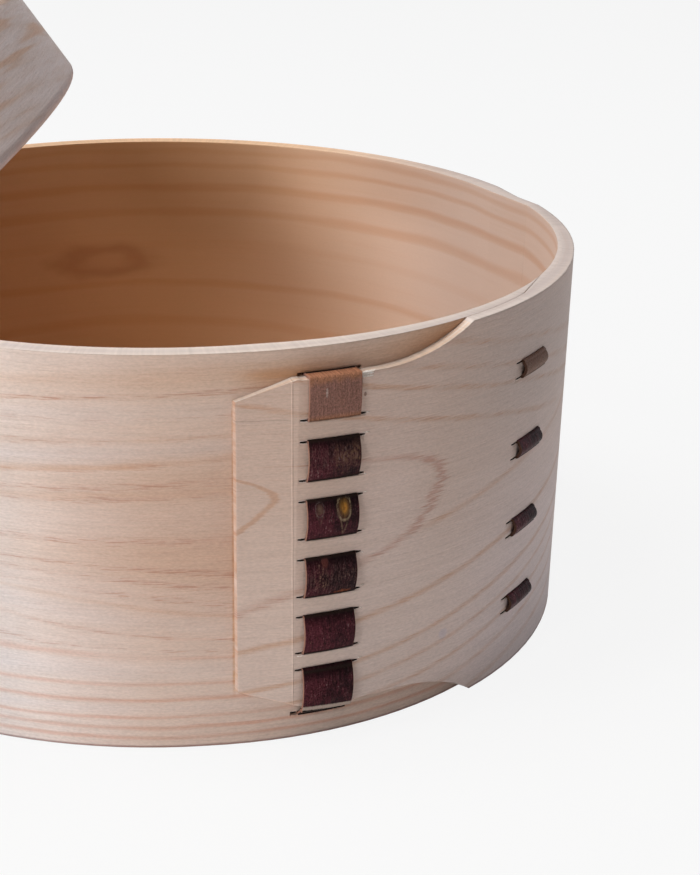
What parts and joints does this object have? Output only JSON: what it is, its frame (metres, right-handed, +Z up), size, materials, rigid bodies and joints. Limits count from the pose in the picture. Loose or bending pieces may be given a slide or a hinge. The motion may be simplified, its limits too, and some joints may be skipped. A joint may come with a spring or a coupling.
{
  "type": "bento box",
  "caption": "Round bentwood food box: a hoop with a lapped joint laced with bark, an inset bottom plate, and a shallow lid made the same way that leans off on the rim.",
  "frame": {"origin": "on the box's axis at the base that it stands on", "axes": "+Z up along the box's axis, -Y towards the front, where the lap's tongue is, +X to the right"},
  "size_m": [0.2169, 0.1528, 0.1035],
  "materials": {
    "hoop_wood": "bare sanded softwood, matte",
    "plate_wood": "bare sanded softwood, matte",
    "dark_bark": "polished cherry bark, satin",
    "smooth_bark": "scraped cherry bark, satin"
  },
  "bodies": {
    "box": {"box_hoop": "hoop_wood", "box_bottom": "plate_wood", "box_front_lacing": "dark_bark", "box_front_lock": "smooth_bark", "box_side_lacing": "dark_bark", "box_side_lock": "smooth_bark"},
    "lid": {"lid_hoop": "hoop_wood", "lid_top": "plate_wood", "lid_front_lacing": "dark_bark", "lid_front_lock": "smooth_bark", "lid_side_lacing": "dark_bark", "lid_side_lock": "smooth_bark"}
  },
  "joints": [
    {"name": "lid_lift", "type": "slide", "parent": "box", "child": "lid", "axis": [0, 0, 1], "range_m": [0, 0.12]}
  ]
}
